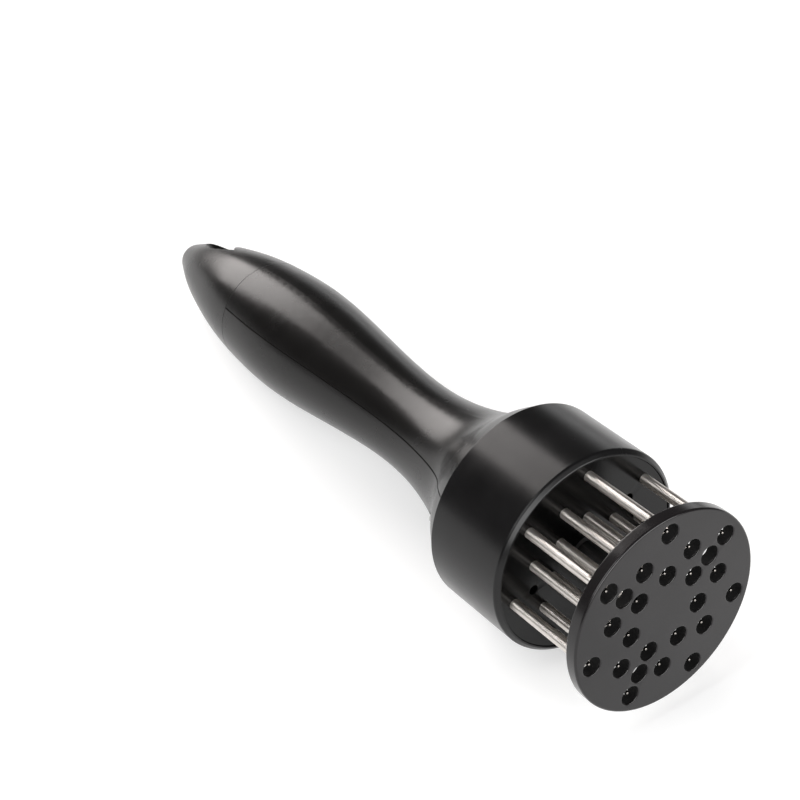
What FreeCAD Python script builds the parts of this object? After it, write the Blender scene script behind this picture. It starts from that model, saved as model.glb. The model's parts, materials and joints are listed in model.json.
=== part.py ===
import FreeCAD, Part
import math
import os

# Needle meat tenderizer, lying on its side as it rests on a table.
#
# Every piece is built upright about the tool's own axis. A station is a distance along that axis in
# millimetres: 0 is the front face of the guard disc, and stations grow towards the end of the handle.
# An angle is turned about the axis from the top of the lying tool, towards +Y. At the end everything is
# laid down: the disc points to +X, the head's rear edge and the belly of the handle touch the table at
# z = 0, and the origin is under the middle of the bounding box.

Vec = FreeCAD.Vector

# ---------------------------------------------------------------- driving dimensions (mm, degrees)

# overall
total_length = 190.0            # front of the guard disc to the end of the handle

# guard disc and its stroke
disc_inset = 0.5                # of the disc's edge inside the head's outline
disc_thickness = 3.0
disc_front_round = 0.5
disc_rear_round = 0.4
disc_hole_radius = 2.2
disc_hole_chamfer = 0.2
disc_boss_radius = 4.5
disc_boss_length = 3.0
disc_boss_root_round = 0.5
stroke = 18.0                   # how far the disc slides back
stroke_end_gap = 0.8            # left between the disc's boss and the needle plate

# needle pattern: three circles of needles, and driver holes on the middle circle
needles_per_circle = 7
outer_circle_inset = 3.15       # of the outer needles inside the head's bore
circle_spacing = 5.25
pattern_angle = 2.3             # of the first inner needle
driver_hole_places = (1, 4, 6)  # free places of the middle circle that are open in the disc
plate_hole_places = (1, 3, 5)   # free places of the middle circle that hold a base screw

# needles
needle_radius = 1.2
needle_point_depth = 0.8        # of the point behind the disc's front face
needle_point_length = 5.0
needle_point_flat = 0.15
needle_head_radius = 1.7
needle_head_thickness = 1.0

# needle plate and backing plate
plate_recess = 0.3              # of the plate behind the rim of the head
plate_thickness = 6.0
plate_side_clearance = 0.15
backing_thickness = 1.2
backing_side_clearance = 0.4
seal_section_radius = 0.6
seal_groove_station = 3.0       # middle of the groove behind the plate's face
seal_groove_clearance = 0.1
snug_clearance = 0.02           # of needles, pins, seals and the stem in their seats
pilot_hole_radius = 1.1
pilot_hole_depth = 2.0
moulded_edge_round = 0.3
stamped_edge_round = 0.2

# head cup
head_radius = 24.25
head_wall = 1.35
head_rim_round = 1.1
head_inner_round = 0.2
head_rear_round = 0.4
head_web_thickness = 3.0
head_lip_thickness = 2.4
head_lip_height = 2.7           # of the rear lip, in from the bore
head_length = 22.8

# stem, bush, bumper, clip, washers and spring
stem_radius = 2.5
stem_socket_floor = 1.4         # of the disc left in front of the stem
stem_tail = 4.0                 # past the spring seat washer
stem_end_round = 0.8
stem_end_gap = 0.05             # between the stem's front end and the floor of its socket
guide_clearance = 0.05
bush_wall = 1.6
bush_flange_radius = 6.5
bush_flange_thickness = 1.6
bush_front_inset = 0.3          # of the bush behind the plate's face
bumper_thickness = 1.5
bumper_radius = 6.0
bumper_bore_clearance = 0.6
bumper_rear_round = 0.4
clip_thickness = 0.8
clip_radius = 4.6
clip_groove_depth = 0.5
clip_stop_gap = 0.1
clip_mouth_share = 0.9          # of the clip's bore that its mouth leaves open
clip_notch_radius = 0.8
thrust_washer_thickness = 1.0
thrust_washer_radius = 6.0
thrust_washer_bore_clearance = 0.1
spring_wire_radius = 0.5
spring_coil_radius = 5.0        # to the middle of the wire
spring_turns = 8.0
spring_fitted_length = 33.0
seat_washer_thickness = 1.2
seat_washer_radius = 8.4
seat_washer_bore_clearance = 0.3
spring_end_gap = 0.02
pin_radius = 0.75
pin_end_inset = 0.3
pin_past_middle = 0.3           # of the boss

# handle
flange_step = 0.35              # of the handle's flange inside the head's outline
neck_radius = 11.0
belly_radius = 14.75
neck_share = 0.272
belly_share = 0.617
cap_length = 39.6
nose_radius = 4.6
nose_join_angle = 25.0          # from the nose's widest circle to where the taper meets it
handle_wall = 2.2
seam_angle = 29.1               # of the upper shell's middle
seam_groove_width = 0.3
seam_groove_depth = 0.3
shell_joint_gap = 0.05          # between the two shells, and between shells and cap
lip_clearance = 0.2
collar_flange_thickness = 2.4
collar_inner_radius = 15.0
front_wall_thickness = 2.2
rib_thickness = 2.0
seat_rib_inner_radius = 4.2

# end cap and hanging hole
hang_hole_radius = 2.3
hang_hole_inset = 11.4          # of the hole's middle from the end
hang_mouth_widening = 2.4        # of the dished mouth, over half as much height
hang_mouth_depth = 5.4          # from the axis to where the mouth starts to open
spigot_length = 9.5
spigot_groove_depth = 2.0
spigot_groove_inset = 3.4
spigot_clearance = 0.15
spigot_end_round = 0.6
cap_cavity_radius = 6.8
cap_cavity_end_inset = 22.0
cap_cavity_round = 2.0

# screws
base_screw_radius = 1.25
base_screw_head_radius = 2.5
base_screw_head_height = 1.8
handle_screw_radius = 1.4
handle_screw_head_radius = 2.8
handle_screw_head_height = 2.2
screw_clearance = 0.05
screw_head_clearance = 0.4
screw_boss_wall = 1.9
screw_seat_thickness = 8.5      # from the seam to the seat under the screw's head
screw_upper_reach = 7.5         # of the screw into the upper shell
flare_screw_offset = 11.5
flare_screw_past_head = 9.0
rear_screw_before_cap = 16.5
rear_screw_pitch = 26.0
screw_point_length = 1.2
screw_tip_gap = 0.3
screw_head_round = 0.5
handle_screw_turn = 20          # of the driver cross
driver_slot_width = 0.8
driver_slot_depth = 0.9
driver_cross_share = 0.55       # of the head's width

# ---------------------------------------------------------------- stations that follow from the above

disc_back = disc_thickness
boss_back = disc_back + disc_boss_length
plate_front = boss_back + stroke + stroke_end_gap
rim_front = plate_front - plate_recess
plate_back = plate_front + plate_thickness
backing_back = plate_back + backing_thickness
web_back = backing_back + head_web_thickness
head_rear = rim_front + head_length
lip_front = head_rear - head_lip_thickness
head_bore = head_radius - head_wall
disc_radius = head_radius - disc_inset
flange_radius = head_radius - flange_step
outer_circle_radius = head_bore - outer_circle_inset
middle_circle_radius = outer_circle_radius - circle_spacing
inner_circle_radius = middle_circle_radius - circle_spacing

bush_front = plate_front + bush_front_inset
bush_flange_back = web_back + bush_flange_thickness
bumper_back = bush_flange_back + bumper_thickness
clip_front = bumper_back + clip_stop_gap
clip_back = clip_front + clip_thickness
thrust_back = clip_back + thrust_washer_thickness
seat_front = thrust_back + spring_fitted_length
seat_back = seat_front + seat_washer_thickness
stem_back = seat_back + stem_tail
bush_bore = stem_radius + guide_clearance
bush_radius = bush_bore + bush_wall

handle_front = head_rear
handle_length = total_length - handle_front
cap_front = total_length - cap_length
hole_station = total_length - hang_hole_inset
nose_middle = total_length - nose_radius
pitch_angle = 360.0 / needles_per_circle
middle_angle = pattern_angle + pitch_angle / 2


# ---------------------------------------------------------------- helpers

def polar(radius, angle, station=0.0):
    """Point at an angle about the axis."""
    a = math.radians(angle)
    return Vec(radius * math.cos(a), radius * math.sin(a), station)


def rounded_wire(corners):
    """Closed wire in the plane of radius and station. A corner is (radius, station, rounding)."""
    count = len(corners)
    points = [Vec(c[0], 0, c[1]) for c in corners]
    cuts = []
    for i, corner in enumerate(corners):
        rounding = corner[2] if len(corner) > 2 else 0.0
        here = points[i]
        if rounding <= 0:
            cuts.append((here, None, here))
            continue
        to_last = (points[i - 1] - here).normalize()
        to_next = (points[(i + 1) % count] - here).normalize()
        half = to_last.getAngle(to_next) / 2
        reach = rounding / math.tan(half)
        inward = (to_last + to_next).normalize()
        middle = here + inward * (rounding / math.sin(half) - rounding)
        cuts.append((here + to_last * reach, middle, here + to_next * reach))
    edges = []
    for i, (start, middle, end) in enumerate(cuts):
        if middle is not None:
            edges.append(Part.Arc(start, middle, end).toShape())
        following = cuts[(i + 1) % count][0]
        if end.distanceToPoint(following) > 1e-7:
            edges.append(Part.makeLine(end, following))
    return Part.Wire(edges)


def turned(corners):
    """Solid turned about the tool's axis from a rounded outline."""
    face = Part.Face(rounded_wire(corners))
    return face.revolve(Vec(0, 0, 0), Vec(0, 0, 1), 360)


def tube(inner, outer, front, back):
    """Plain ring or, with inner 0, a plain disc."""
    body = Part.makeCylinder(outer, back - front, Vec(0, 0, front))
    if inner <= 0:
        return body
    return body.cut(Part.makeCylinder(inner, back - front + 2, Vec(0, 0, front - 1)))


def rod(radius, start, end):
    """Cylinder from one point to another."""
    return Part.makeCylinder(radius, start.distanceToPoint(end), start, end - start)


def across(offset, station, height):
    """Point in the handle: offset along the seam plane, height above it towards the upper shell."""
    up = polar(1, seam_angle)
    side = polar(1, seam_angle + 90)
    return side * offset + up * height + Vec(0, 0, station)


def joined(shapes):
    """Union of several shapes as one clean solid."""
    result = shapes[0]
    for shape in shapes[1:]:
        result = result.fuse(shape)
    return result.removeSplitter()


# ---------------------------------------------------------------- handle outline

# share of the handle's length, with the share of the way from the neck's radius to the flange's,
# then from the neck's radius to the belly's, then the share of the belly's radius
flare = [(0.0, 1.0), (0.03, 0.79), (0.06, 0.535), (0.09, 0.357), (0.13, 0.21), (0.19, 0.068)]
swell = [(0.364, 0.17), (0.448, 0.50), (0.532, 0.84)]
taper = [(0.70, 0.962), (0.785, 0.861), (0.868, 0.681), (0.925, 0.513)]

outline = [(s, neck_radius + (flange_radius - neck_radius) * k) for s, k in flare]
outline += [(neck_share, neck_radius)]
outline += [(s, neck_radius + (belly_radius - neck_radius) * k) for s, k in swell]
outline += [(belly_share, belly_radius)]
outline += [(s, belly_radius * k) for s, k in taper]


def handle_curve(inset):
    """Outline of the handle up to its round nose, or moved inwards by a wall's thickness."""
    points = [Vec(r - inset, 0, handle_front + s * handle_length) for s, r in outline]
    curve = Part.BSplineCurve()
    if inset > handle_wall / 2:
        curve.interpolate(points)
        return curve
    join = math.radians(nose_join_angle)
    points.append(Vec((nose_radius - inset) * math.cos(join), 0,
                      nose_middle + (nose_radius - inset) * math.sin(join)))
    curve.interpolate(points, InitialTangent=(points[1] - points[0]).normalize(),
                      FinalTangent=Vec(-math.sin(join), 0, math.cos(join)), Scale=False)
    return curve


def handle_body(inset):
    """Solid inside the handle's outline."""
    curve = handle_curve(inset)
    first = curve.value(curve.FirstParameter)
    last = curve.value(curve.LastParameter)
    edges = [curve.toShape(), Part.makeLine(Vec(0, 0, first.z), first)]
    end = Vec(0, 0, last.z)
    if inset > handle_wall / 2:
        edges.append(Part.makeLine(last, end))
    else:
        radius = nose_radius - inset
        end = Vec(0, 0, nose_middle + radius)
        half = math.radians((90 + nose_join_angle) / 2)
        middle = Vec(radius * math.cos(half), 0, nose_middle + radius * math.sin(half))
        edges.append(Part.Arc(last, middle, end).toShape())
    edges.append(Part.makeLine(end, Vec(0, 0, first.z)))
    face = Part.Face(Part.Wire(Part.__sortEdges__(edges)))
    return face.revolve(Vec(0, 0, 0), Vec(0, 0, 1), 360)


handle_outline = handle_curve(0.0)


def handle_radius(station):
    """Outer radius of the handle at a station."""
    plane = Part.Plane(Vec(0, 0, station), Vec(0, 0, 1))
    point = handle_outline.intersect(plane)[0][0]
    return point.X


spigot_radius = handle_radius(cap_front) - handle_wall - spigot_clearance


# ---------------------------------------------------------------- pieces

parts = {}


def guard_disc():
    disc = turned([
        (0, 0),
        (disc_radius, 0, disc_front_round),
        (disc_radius, disc_back, disc_rear_round),
        (disc_boss_radius, disc_back, disc_boss_root_round),
        (disc_boss_radius, boss_back, moulded_edge_round),
        (0, boss_back),
    ])
    cuts = []
    for radius, angle in needle_places() + driver_places(driver_hole_places):
        cuts.append(Part.makeCylinder(disc_hole_radius, disc_thickness + 2, polar(radius, angle, -1)))
        mouth = disc_hole_radius + disc_hole_chamfer
        cuts.append(Part.makeCone(mouth + 1, disc_hole_radius, disc_hole_chamfer + 1,
                                  polar(radius, angle, -1)))
    socket = stem_radius + snug_clearance
    cuts.append(Part.makeCylinder(socket, boss_back, Vec(0, 0, stem_socket_floor)))
    cuts.append(pin_rod(snug_clearance, disc_boss_radius))
    return disc.cut(Part.makeCompound(cuts)).removeSplitter()


def needle_places():
    """(radius, angle) of every needle: inner, middle and outer circle."""
    places = []
    for circle, start in ((inner_circle_radius, pattern_angle), (middle_circle_radius, middle_angle),
                          (outer_circle_radius, pattern_angle)):
        places += [(circle, start + pitch_angle * k) for k in range(needles_per_circle)]
    return places


def driver_places(free_places):
    """(radius, angle) of free places on the middle circle, between its needles."""
    return [(middle_circle_radius, pattern_angle + pitch_angle * k) for k in free_places]


def needle(radius, angle):
    point = needle_point_depth
    shoulder = point + needle_point_length
    head_front = plate_back - needle_head_thickness
    body = turned([
        (0, point),
        (needle_point_flat, point),
        (needle_radius, shoulder),
        (needle_radius, head_front),
        (needle_head_radius, head_front, stamped_edge_round),
        (needle_head_radius, plate_back),
        (0, plate_back),
    ])
    return body.translated(polar(radius, angle))


def needle_plate():
    radius = head_bore - plate_side_clearance
    groove = radius - 2 * seal_section_radius + plate_side_clearance
    groove_middle = plate_front + seal_groove_station
    groove_half = seal_section_radius + seal_groove_clearance
    plate = turned([
        (0, plate_front),
        (radius, plate_front, moulded_edge_round),
        (radius, groove_middle - groove_half),
        (groove, groove_middle - groove_half),
        (groove, groove_middle + groove_half),
        (radius, groove_middle + groove_half),
        (radius, plate_back),
        (0, plate_back),
    ])
    cuts = []
    pocket = needle_head_thickness + snug_clearance
    for circle, angle in needle_places():
        cuts.append(Part.makeCylinder(needle_radius + snug_clearance, plate_thickness + 2,
                                      polar(circle, angle, plate_front - 1)))
        cuts.append(Part.makeCylinder(needle_head_radius + snug_clearance, pocket + 1,
                                      polar(circle, angle, plate_back - pocket)))
    for circle, angle in driver_places(plate_hole_places):
        cuts.append(Part.makeCylinder(pilot_hole_radius, plate_thickness + 2,
                                      polar(circle, angle, plate_front - 1)))
        cuts.append(Part.makeCylinder(base_screw_radius + screw_clearance, plate_thickness,
                                      polar(circle, angle, plate_front + pilot_hole_depth)))
    cuts.append(Part.makeCylinder(bush_radius + guide_clearance, plate_thickness + 2,
                                  Vec(0, 0, plate_front - 1)))
    return plate.cut(Part.makeCompound(cuts)).removeSplitter()


def backing_plate():
    plate = tube(bush_radius + guide_clearance, head_bore - backing_side_clearance, plate_back,
                 backing_back)
    for circle, angle in driver_places(plate_hole_places):
        plate = plate.cut(Part.makeCylinder(base_screw_radius + screw_clearance, backing_thickness + 2,
                                            polar(circle, angle, plate_back - 1)))
    return plate


def plate_seal_ring():
    section_middle = head_bore - seal_section_radius - snug_clearance
    return Part.makeTorus(section_middle, seal_section_radius - snug_clearance,
                          Vec(0, 0, plate_front + seal_groove_station))


def driver_cross(head_radius, top):
    """Two crossed slots in the end of a screw that points to -Z, to be cut from its head."""
    length = 2 * head_radius * driver_cross_share
    slots = []
    for turn in (0, 90):
        slot = Part.makeBox(length, driver_slot_width, driver_slot_depth + 1,
                            Vec(-length / 2, -driver_slot_width / 2, top - driver_slot_depth))
        slot.rotate(Vec(0, 0, 0), Vec(0, 0, 1), turn)
        slots.append(slot)
    return slots[0].fuse(slots[1])


def base_screws():
    tip = plate_front + pilot_hole_depth + screw_tip_gap
    top = web_back + base_screw_head_height
    screw = turned([
        (0, tip),
        (base_screw_radius * 0.5, tip),
        (base_screw_radius, tip + screw_point_length),
        (base_screw_radius, web_back),
        (base_screw_head_radius, web_back),
        (base_screw_head_radius, top, screw_head_round),
        (0, top),
    ])
    screw = screw.cut(driver_cross(base_screw_head_radius, top))
    places = driver_places(plate_hole_places)
    return Part.makeCompound([screw.translated(polar(circle, angle)) for circle, angle in places])


def head_cup():
    cup = turned([
        (head_bore, rim_front, head_inner_round),
        (head_radius, rim_front, head_rim_round),
        (head_radius, head_rear, head_rear_round),
        (head_bore - head_lip_height, head_rear),
        (head_bore - head_lip_height, lip_front),
        (head_bore, lip_front),
        (head_bore, web_back),
        (bush_radius + guide_clearance, web_back),
        (bush_radius + guide_clearance, backing_back),
        (head_bore, backing_back),
    ])
    for circle, angle in driver_places(plate_hole_places):
        cup = cup.cut(Part.makeCylinder(base_screw_radius + screw_clearance, head_web_thickness + 2,
                                        polar(circle, angle, backing_back - 1)))
    return cup


def guide_bush():
    return turned([
        (bush_bore, bush_front, moulded_edge_round),
        (bush_radius, bush_front, moulded_edge_round),
        (bush_radius, web_back),
        (bush_flange_radius, web_back),
        (bush_flange_radius, bush_flange_back, moulded_edge_round),
        (bush_bore, bush_flange_back, moulded_edge_round),
    ])


def bumper_ring():
    bore = stem_radius + bumper_bore_clearance
    return turned([
        (bore, bush_flange_back, stamped_edge_round),
        (bumper_radius, bush_flange_back, stamped_edge_round),
        (bumper_radius, bumper_back, bumper_rear_round),
        (bore, bumper_back, bumper_rear_round),
    ])


def pin_rod(extra_radius, extra_length):
    """Cross pin through the disc's boss and the stem."""
    station = (disc_back + boss_back) / 2 + pin_past_middle
    half = disc_boss_radius - pin_end_inset + extra_length
    return rod(pin_radius + extra_radius, polar(half, 180, station), polar(half, 0, station))


def plunger_stem():
    groove = stem_radius - clip_groove_depth
    front = stem_socket_floor + stem_end_gap
    stem = turned([
        (0, front),
        (stem_radius, front, stamped_edge_round),
        (stem_radius, clip_front),
        (groove, clip_front),
        (groove, clip_back),
        (stem_radius, clip_back),
        (stem_radius, stem_back, stem_end_round),
        (0, stem_back),
    ])
    return stem.cut(pin_rod(snug_clearance, disc_boss_radius))


def stem_clip():
    """E clip: open ring that sits in the stem's groove."""
    bore = stem_radius - clip_groove_depth + snug_clearance
    clip = tube(bore, clip_radius, clip_front, clip_back)
    half_mouth = bore * clip_mouth_share
    mouth = Part.makeBox(clip_radius + 1, 2 * half_mouth, clip_thickness + 2,
                         Vec(0, -half_mouth, clip_front - 1))
    for angle in (120, 240):
        notch = Part.makeCylinder(clip_notch_radius, clip_thickness + 2,
                                  polar(stem_radius, angle, clip_front - 1))
        clip = clip.cut(notch)
    return clip.cut(mouth)


def thrust_washer():
    return tube(stem_radius + thrust_washer_bore_clearance, thrust_washer_radius, clip_back, thrust_back)


def spring_seat_washer():
    bore = stem_radius + seat_washer_bore_clearance
    return tube(bore, seat_washer_radius, seat_front, seat_back)


def plunger_spring():
    """Coil swept half a turn at a time, which gives short faces that mesh well."""
    front = thrust_back + spring_wire_radius + spring_end_gap
    back = seat_front - spring_wire_radius - spring_end_gap
    stretches = round(2 * spring_turns)
    rise = (back - front) / stretches
    path = Part.makeHelix(2 * rise, rise, spring_coil_radius)
    lead = Vec(0, spring_coil_radius * math.pi, rise)
    section = Part.Wire(Part.makeCircle(spring_wire_radius, Vec(spring_coil_radius, 0, 0), lead))
    half_turn = Part.Wire(path.Edges).makePipeShell([section], True, True)
    coil = []
    for i in range(stretches):
        stretch = half_turn.copy()
        stretch.rotate(Vec(0, 0, 0), Vec(0, 0, 1), 180 * i)
        stretch.translate(Vec(0, 0, front + i * rise))
        coil.append(stretch)
    return coil[0].multiFuse(coil[1:]).Solids[0]


def screw_spots():
    """(offset, station) of the four screws across the handle's seam."""
    flare_station = head_rear + flare_screw_past_head
    rear = cap_front - rear_screw_before_cap
    return [(-flare_screw_offset, flare_station), (flare_screw_offset, flare_station),
            (0, rear - rear_screw_pitch), (0, rear)]


def handle_screw():
    """A handle screw that points to -Z, with the seat under its head at z = 0."""
    length = screw_seat_thickness + screw_upper_reach
    return turned([
        (0, -length),
        (handle_screw_radius * 0.4, -length),
        (handle_screw_radius, screw_point_length - length),
        (handle_screw_radius, 0),
        (handle_screw_head_radius, 0),
        (handle_screw_head_radius, handle_screw_head_height, screw_head_round),
        (0, handle_screw_head_height),
    ]).cut(driver_cross(handle_screw_head_radius, handle_screw_head_height))


def handle_screws():
    screws = []
    for offset, station in screw_spots():
        screw = handle_screw()
        screw.rotate(Vec(0, 0, 0), Vec(0, 0, 1), handle_screw_turn)
        seat = across(offset, station, -screw_seat_thickness)
        turn = FreeCAD.Rotation(Vec(0, 0, 1), polar(-1, seam_angle))
        screw.Placement = FreeCAD.Placement(seat, turn).multiply(screw.Placement)
        screws.append(screw)
    return Part.makeCompound(screws)


def half_space(sign):
    """Everything on one side of the seam, less half of the joint's gap."""
    size = 4 * head_radius
    box = Part.makeBox(size, size, 2 * total_length, Vec(shell_joint_gap / 2, -size / 2, -total_length / 2))
    if sign < 0:
        box.rotate(Vec(0, 0, 0), Vec(0, 0, 1), 180)
    box.rotate(Vec(0, 0, 0), Vec(0, 0, 1), seam_angle)
    return box


def whole_shell():
    """Both halves of the handle in one, before they are parted."""
    shell = handle_body(0).common(tube(0, 2 * head_radius, handle_front + shell_joint_gap,
                                       cap_front - shell_joint_gap))
    shell = shell.cut(handle_body(handle_wall))
    within_wall = handle_body(handle_wall / 3)
    neck = head_bore - head_lip_height - lip_clearance
    flange = head_bore - lip_clearance
    flange_front = lip_front - lip_clearance - collar_flange_thickness
    collar = turned([
        (collar_inner_radius, flange_front, moulded_edge_round),
        (flange, flange_front, moulded_edge_round),
        (flange, lip_front - lip_clearance),
        (neck, lip_front - lip_clearance),
        (neck, handle_front + front_wall_thickness),
        (collar_inner_radius, handle_front + front_wall_thickness),
    ])
    front_wall = tube(collar_inner_radius, 2 * head_radius, handle_front + shell_joint_gap,
                      handle_front + front_wall_thickness)
    shell = shell.fuse(front_wall.common(handle_body(0))).fuse(collar)
    for front, inner in ((seat_back, seat_rib_inner_radius), (rib_station(), spigot_rib_radius())):
        rib = tube(inner, 2 * belly_radius, front, front + rib_thickness)
        shell = shell.fuse(rib.common(within_wall))
    for offset, station in screw_spots():
        reach = 2 * belly_radius + flange_radius
        boss = rod(handle_screw_radius + screw_clearance + screw_boss_wall,
                   across(offset, station, -reach), across(offset, station, reach))
        shell = shell.fuse(boss.common(within_wall))
    cuts = []
    for offset, station in screw_spots():
        cuts.append(rod(handle_screw_radius + screw_clearance,
                        across(offset, station, -screw_seat_thickness - 1),
                        across(offset, station, screw_upper_reach + screw_tip_gap)))
        cuts.append(rod(handle_screw_head_radius + screw_head_clearance,
                        across(offset, station, -2 * head_radius),
                        across(offset, station, -screw_seat_thickness)))
    groove = Part.makeBox(seam_groove_width, 4 * head_radius, total_length,
                          Vec(-seam_groove_width / 2, -2 * head_radius, 0))
    groove.rotate(Vec(0, 0, 0), Vec(0, 0, 1), seam_angle)
    cuts.append(groove.cut(handle_body(seam_groove_depth)).common(
        tube(0, 2 * head_radius, handle_front, cap_front)))
    return shell.cut(Part.makeCompound(cuts))


def rib_station():
    """Front of the shells' rib that holds the cap's spigot."""
    return cap_front - spigot_groove_inset - rib_thickness


def spigot_rib_radius():
    return spigot_radius - spigot_groove_depth + spigot_clearance


def handle_end_cap():
    cap = handle_body(0).common(tube(0, 2 * head_radius, cap_front + shell_joint_gap, total_length + 1))
    rib = rib_station()
    groove = spigot_radius - spigot_groove_depth
    spigot = turned([
        (0, cap_front - spigot_length),
        (spigot_radius, cap_front - spigot_length, spigot_end_round),
        (spigot_radius, rib - spigot_clearance),
        (groove, rib - spigot_clearance),
        (groove, rib + rib_thickness + spigot_clearance),
        (spigot_radius, rib + rib_thickness + spigot_clearance),
        (spigot_radius, cap_front + 1),
        (0, cap_front + 1),
    ])
    cap = cap.fuse(spigot)
    cavity = turned([
        (0, cap_front - spigot_length - 1),
        (cap_cavity_radius, cap_front - spigot_length - 1),
        (cap_cavity_radius, total_length - cap_cavity_end_inset, cap_cavity_round),
        (0, total_length - cap_cavity_end_inset),
    ])
    cap = cap.cut(cavity)
    reach = 2 * belly_radius
    cap = cap.cut(rod(hang_hole_radius, across(0, hole_station, -reach), across(0, hole_station, reach)))
    opening = 2 * hang_mouth_widening
    for side in (1, -1):
        mouth = Part.makeCone(hang_hole_radius, hang_hole_radius + 2 * opening, opening,
                              across(0, hole_station, side * hang_mouth_depth), polar(side, seam_angle))
        cap = cap.cut(mouth)
    return cap.removeSplitter()


shell_pair = whole_shell()
parts["guard_disc"] = guard_disc()
parts["plunger_stem"] = plunger_stem()
parts["stem_cross_pin"] = pin_rod(0, 0)
parts["stem_clip"] = stem_clip()
parts["thrust_washer"] = thrust_washer()
parts["plunger_spring"] = plunger_spring()
parts["spring_seat_washer"] = spring_seat_washer()
parts["guide_bush"] = guide_bush()
parts["bumper_ring"] = bumper_ring()
parts["needle_plate"] = needle_plate()
parts["backing_plate"] = backing_plate()
parts["plate_seal_ring"] = plate_seal_ring()
parts["base_screws"] = base_screws()
for number, (circle, angle) in enumerate(needle_places(), 1):
    parts["needle_%02d" % number] = needle(circle, angle)
parts["head_cup"] = head_cup()
parts["handle_shell_upper"] = shell_pair.common(half_space(1))
parts["handle_shell_lower"] = shell_pair.common(half_space(-1))
parts["handle_screws"] = handle_screws()
parts["handle_end_cap"] = handle_end_cap()

# ---------------------------------------------------------------- laid down on the table

# the lowest line touches the head's rear edge and the belly of the handle
tilt = 90.0
for step in range(50, 400):
    station = head_rear + handle_length * step / 400
    if station < nose_middle:
        drop = head_radius - handle_radius(station)
        tilt = min(tilt, math.degrees(math.atan2(drop, station - head_rear)))
lay = FreeCAD.Rotation(Vec(0, 1, 0), -(90 + tilt))

laid = {}
box = FreeCAD.BoundBox()
for name, shape in parts.items():
    shape = shape.copy()
    shape.Placement = FreeCAD.Placement(Vec(0, 0, 0), lay).multiply(shape.Placement)
    laid[name] = shape
    box.add(shape.optimalBoundingBox(False))
shift = Vec(-box.Center.x, -box.Center.y, -box.ZMin)

os.makedirs("parts", exist_ok=True)
for name, shape in laid.items():
    shape.translate(shift)
    solids = shape.Solids
    result = solids[0] if len(solids) == 1 else Part.makeCompound(solids)
    print(name, "solids", len(solids), "valid", result.isValid(), "volume %.1f" % result.Volume)
    result.exportStep("parts/" + name + ".step")
print("size %.2f x %.2f x %.2f" % (box.XLength, box.YLength, box.ZLength))
print("tilt %.5f" % tilt)
print("disc face centre %.4f %.4f %.4f" % tuple(shift))
print("stations: plate %.2f, head rear %.2f, cap %.2f" % (plate_front, head_rear, cap_front))
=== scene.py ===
# %% [markdown]
# # A needle meat tenderizer
# The tool has a bulb handle, a round head with a bed of steel needles, and a black guard disc. When it is
# pushed onto meat, the disc slides back along the needles against a spring, and afterwards it springs out
# again.
#
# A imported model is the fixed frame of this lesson. It says where every piece is and how the disc moves. The
# lesson turns, pierces and winds the pieces that deserve a closer look, and gives every piece its finish.

# %% Load the frame
import json
import math

import bmesh
import bpy
from mathutils import Matrix, Vector


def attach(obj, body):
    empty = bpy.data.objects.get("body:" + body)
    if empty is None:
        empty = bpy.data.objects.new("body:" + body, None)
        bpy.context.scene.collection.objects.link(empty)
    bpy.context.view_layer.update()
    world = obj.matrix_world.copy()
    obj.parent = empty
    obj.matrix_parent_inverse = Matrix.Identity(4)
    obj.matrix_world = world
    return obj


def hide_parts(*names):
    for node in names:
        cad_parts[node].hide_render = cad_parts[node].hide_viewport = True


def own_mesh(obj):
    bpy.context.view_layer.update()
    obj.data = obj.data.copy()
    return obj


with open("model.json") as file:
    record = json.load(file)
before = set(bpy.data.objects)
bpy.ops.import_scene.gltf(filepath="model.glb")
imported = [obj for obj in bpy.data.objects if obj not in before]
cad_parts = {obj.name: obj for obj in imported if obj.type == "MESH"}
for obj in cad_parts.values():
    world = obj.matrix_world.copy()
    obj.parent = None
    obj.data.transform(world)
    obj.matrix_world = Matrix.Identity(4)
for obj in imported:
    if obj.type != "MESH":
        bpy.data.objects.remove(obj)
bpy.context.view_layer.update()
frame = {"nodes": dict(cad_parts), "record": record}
nodes = frame["nodes"]


# %% [markdown]
# ## The tool's own place
# The tool lies on its side and is tipped a little, so few of its faces line up with the table. Turned
# pieces are easiest to draw upright. Each piece is therefore drawn in millimetres about the z axis, where z
# is the station: the distance back from the guard disc's front face.
#
# One matrix then lays a drawn piece down where it belongs. It is made from the model's own mark on the
# disc's face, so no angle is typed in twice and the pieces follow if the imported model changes.

# %% The matrix that lays a piece down
mounts = {mount["name"]: mount for mount in frame["record"]["mounts"]}
disc_centre = Vector(mounts["guard_face"]["pos_m"])
forward = Vector(mounts["guard_face"]["axis"]).normalized()
side = Vector((0, 1, 0))
top = side.cross(-forward)
axes = Matrix((top, side, -forward)).transposed().to_4x4()
lay = Matrix.Translation(disc_centre) @ axes @ Matrix.Scale(0.001, 4)
print("the tool points to", [round(v, 4) for v in forward])

# %% [markdown]
# ## Camera
# The camera looks down from the left of the head, so the disc, the needles and the whole handle show. A
# long lens keeps the far end of the handle from shrinking too much.

# %% Camera
camera = bpy.data.objects.new("camera", bpy.data.cameras.new("camera"))
bpy.context.collection.objects.link(camera)
camera.location = (0.284530, -0.202400, 0.307227)
camera.rotation_euler = [math.radians(angle) for angle in (50.8001, 0.1805, 54.2976)]
camera.data.lens = 86.375
camera.data.sensor_width = 36
camera.data.clip_end = 50
bpy.context.scene.camera = camera
bpy.context.scene.view_settings.view_transform = "Standard"
print("camera to disc, mm:", round(1000 * (camera.location - disc_centre).length))

# %% [markdown]
# ## A short way to add nodes
# Materials and Geometry Nodes are both trees of nodes. Adding a node by hand takes a line for the node, one
# for each setting and one for each wire. This helper does all of it in one call: a node or a socket that is
# given for an input is wired to it, and any other value is written into it.

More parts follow.
